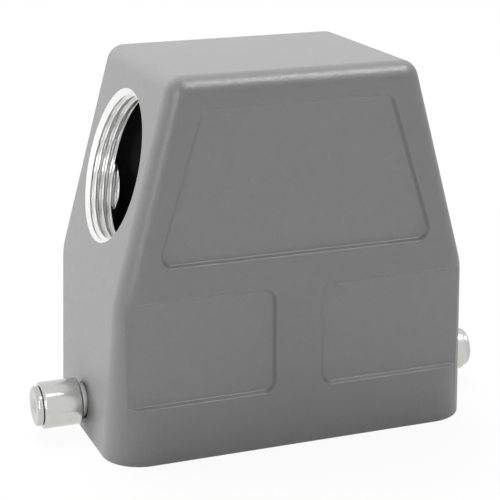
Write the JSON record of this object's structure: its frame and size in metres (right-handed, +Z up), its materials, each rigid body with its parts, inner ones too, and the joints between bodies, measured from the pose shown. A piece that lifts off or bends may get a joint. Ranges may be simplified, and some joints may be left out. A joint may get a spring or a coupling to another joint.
{
  "type": "heavy duty rectangular connector hood",
  "caption": "Tall grey die-cast hood of a rectangular power connector, with a side cable entry, locking pegs with rollers, and a pin insert inside.",
  "frame": {"origin": "middle of the flat rim that the hood stands on", "axes": "+X along the hood, away from the cable entry; +Y across the hood; +Z up, from the rim to the roof"},
  "size_m": [0.0926, 0.043, 0.072],
  "materials": {
    "painted_casting": "aluminium casting with a grey, finely wrinkled powder coat, bare at the entry thread",
    "nickelled_steel": "bright nickel plating",
    "nickelled_roller": "bright nickel plating, polished by turning",
    "moulded_plastic": "matt dark glass-filled moulding",
    "silvered_brass": "silver plating on turned and drilled brass",
    "zinc_steel": "zinc plating",
    "stamped_steel": "tin plating on stamped sheet"
  },
  "bodies": {
    "hood": {"hood_shell": "painted_casting", "left_peg_pin": "nickelled_steel", "right_peg_pin": "nickelled_steel", "insert_body": "moulded_plastic", "terminal_screws": "zinc_steel", "fixing_screws": "zinc_steel", "earth_screws": "zinc_steel", "left_earth_plate": "stamped_steel", "right_earth_plate": "stamped_steel", "left_earth_clamp": "stamped_steel", "right_earth_clamp": "stamped_steel", "contact_01": "silvered_brass", "contact_02": "silvered_brass", "contact_03": "silvered_brass", "contact_04": "silvered_brass", "contact_05": "silvered_brass", "contact_06": "silvered_brass", "contact_07": "silvered_brass", "contact_08": "silvered_brass", "contact_09": "silvered_brass", "contact_10": "silvered_brass"},
    "left_roller": {"left_peg_roller": "nickelled_roller"},
    "right_roller": {"right_peg_roller": "nickelled_roller"}
  },
  "joints": [
    {"name": "left_roller_spin", "type": "hinge", "parent": "hood", "child": "left_roller", "pos_m": [-0.04127, 0, 0.0063], "axis": [-1, 0, 0], "continuous": true},
    {"name": "right_roller_spin", "type": "hinge", "parent": "hood", "child": "right_roller", "pos_m": [0.04127, 0, 0.0063], "axis": [1, 0, 0], "continuous": true}
  ]
}
